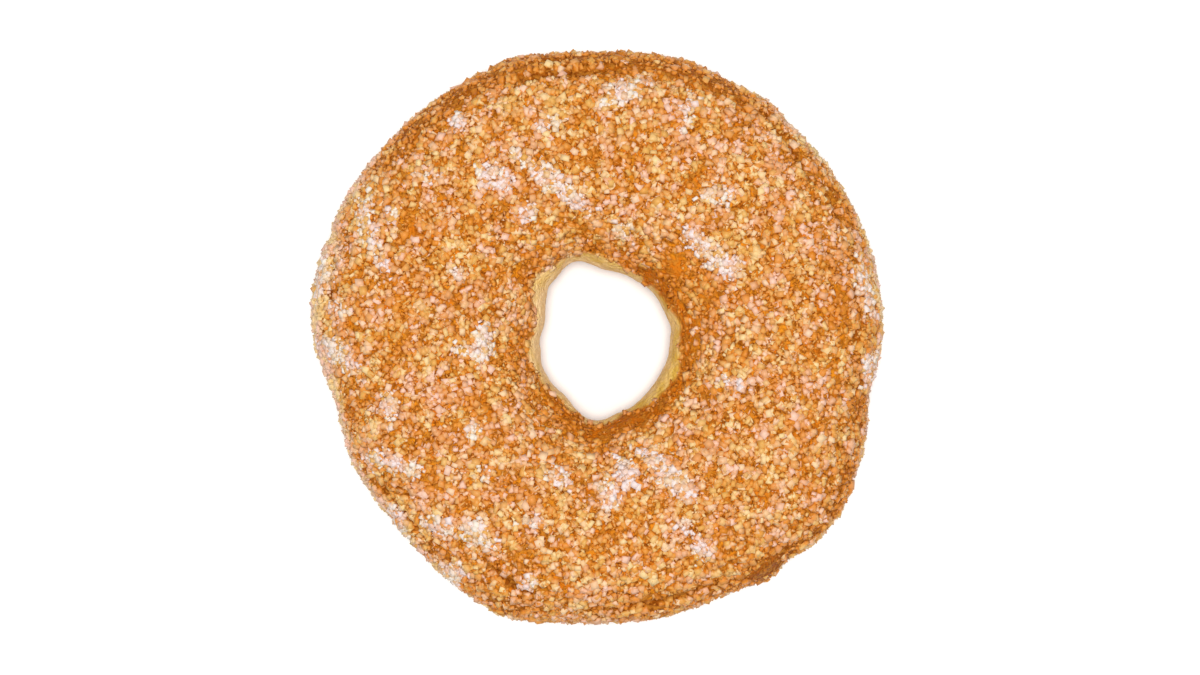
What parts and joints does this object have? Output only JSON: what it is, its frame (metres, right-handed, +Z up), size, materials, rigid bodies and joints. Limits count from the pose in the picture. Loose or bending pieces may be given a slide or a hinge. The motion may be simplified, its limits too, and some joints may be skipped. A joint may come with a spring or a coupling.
{
  "type": "sugared ring doughnut",
  "caption": "Sugared ring doughnut: a fried dough ring with an uneven hole, folds under its rim and coarse sugar all over, lying flat.",
  "frame": {"origin": "centre of the doughnut's outline, on the plane of its flat underside", "axes": "+Z up through the hole, +X towards the picture's right, +Y towards the picture's top"},
  "size_m": [0.0961, 0.0961, 0.0322],
  "materials": {
    "sugared_crust": "golden brown fried crust coated in coarse white sugar, matt, with a paler band inside the hole"
  },
  "bodies": {
    "root": {"doughnut": "sugared_crust"}
  },
  "joints": []
}
